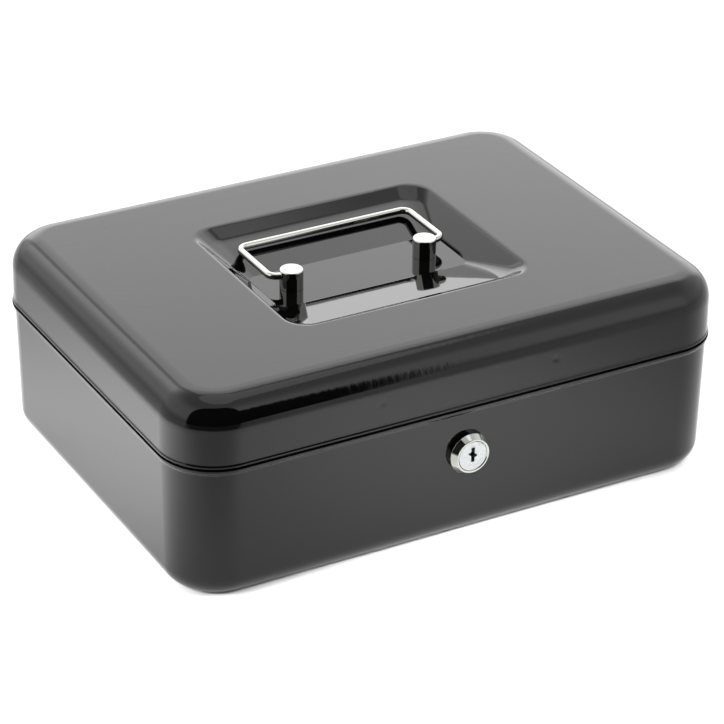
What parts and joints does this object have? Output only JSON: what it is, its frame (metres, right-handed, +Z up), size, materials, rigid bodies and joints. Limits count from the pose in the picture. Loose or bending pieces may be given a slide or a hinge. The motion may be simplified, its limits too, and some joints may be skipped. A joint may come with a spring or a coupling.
{
  "type": "cash box",
  "caption": "Drawn steel cash box with rounded corners, a hinged lid, a fold-flat wire handle in a pressed well, a cam lock and a lift-out coin tray",
  "frame": {"origin": "the middle of the underside of the closed box", "axes": "+X to the right along the front, +Y to the rear, +Z up; the lock faces -Y"},
  "size_m": [0.25, 0.1902, 0.088],
  "materials": {
    "black_gloss_paint": "smooth gloss black enamel with a faint orange peel",
    "black_satin_paint": "satin black enamel",
    "chrome": "bright plated metal",
    "satin_plug": "satin plated zinc, turned face",
    "zinc_plate": "zinc-plated steel",
    "brass": "stamped brass",
    "spring_steel": "bright spring wire",
    "tray_plastic": "fine-grained black polystyrene"
  },
  "bodies": {
    "base": {"base_shell": "black_gloss_paint", "rim_frame": "black_satin_paint", "lock_housing": "chrome", "lock_nut": "zinc_plate", "lock_washer": "zinc_plate", "hinge_leaf_base": "zinc_plate", "hinge_pin": "zinc_plate"},
    "lid": {"lid_shell": "black_gloss_paint", "striker_plate": "zinc_plate", "hinge_leaf_lid": "zinc_plate", "handle_post_left": "chrome", "handle_post_right": "chrome", "post_washers": "zinc_plate", "post_screws": "zinc_plate"},
    "handle": {"handle_bail": "chrome"},
    "lock": {"lock_plug": "satin_plug", "lock_wafers": "brass", "wafer_springs": "spring_steel", "lock_cam": "zinc_plate", "cam_washer": "zinc_plate", "cam_screw": "zinc_plate"},
    "tray": {"coin_tray": "tray_plastic"}
  },
  "joints": [
    {"name": "lid_hinge", "type": "hinge", "parent": "base", "child": "lid", "pos_m": [0, 0.0921, 0.0597], "axis": [-1, 0, 0], "range_deg": [0, 100]},
    {"name": "handle_swing", "type": "hinge", "parent": "lid", "child": "handle", "pos_m": [0, 0, 0.0849], "axis": [1, 0, 0], "range_deg": [0, 180]},
    {"name": "lock_turn", "type": "hinge", "parent": "base", "child": "lock", "pos_m": [0, -0.085, 0.039], "axis": [0, 1, 0], "range_deg": [0, 90]},
    {"name": "tray_lift", "type": "slide", "parent": "base", "child": "tray", "axis": [0, 0, 1], "range_m": [0, 0.014]}
  ]
}
